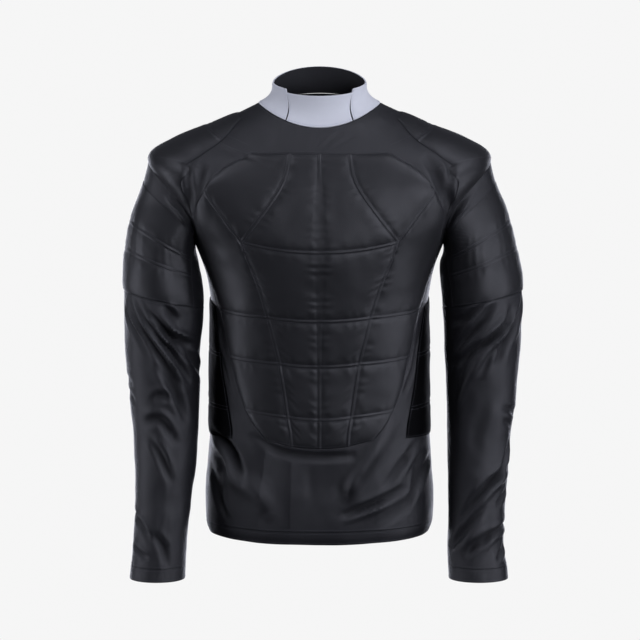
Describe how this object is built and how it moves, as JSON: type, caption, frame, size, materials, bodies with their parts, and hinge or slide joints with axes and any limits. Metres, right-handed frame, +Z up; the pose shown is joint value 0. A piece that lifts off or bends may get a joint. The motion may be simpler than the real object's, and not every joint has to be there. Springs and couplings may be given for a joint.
{
  "type": "goalie protective vest",
  "caption": "Long-sleeved padded compression top for a goalkeeper, filled out as worn, with quilted chest, shoulder, arm and rib padding and a grey stand collar.",
  "frame": {"origin": "middle of the neck seam, level with its two shoulder points, where the wearer's neck and shoulders hold the vest", "axes": "+Z up, the front faces -Y, the wearer's left is +X"},
  "size_m": [0.6192, 0.2624, 0.7841],
  "materials": {
    "black_stretch_knit": "smooth knit with a satin sheen",
    "black_quilted_knit": "finely ribbed knit quilted over foam, nearly matt",
    "black_rib_mesh": "matt mesh knit over foam",
    "grey_collar_knit": "fine vertical rib, matt",
    "black_lining": "matt brushed knit"
  },
  "bodies": {
    "root": {"neck_yoke": "black_stretch_knit", "front_panel": "black_stretch_knit", "back_panel": "black_stretch_knit", "hem_band": "black_stretch_knit", "sleeve_upper_left": "black_stretch_knit", "sleeve_upper_right": "black_stretch_knit", "sleeve_lower_left": "black_stretch_knit", "sleeve_lower_right": "black_stretch_knit", "cuff_left": "black_stretch_knit", "cuff_right": "black_stretch_knit", "chest_pad": "black_quilted_knit", "shoulder_pad_left": "black_quilted_knit", "shoulder_pad_right": "black_quilted_knit", "arm_pad_left": "black_quilted_knit", "arm_pad_right": "black_quilted_knit", "rib_pad_left": "black_rib_mesh", "rib_pad_right": "black_rib_mesh", "collar_front": "grey_collar_knit", "collar_back": "grey_collar_knit", "collar_lining": "black_lining"}
  },
  "joints": []
}
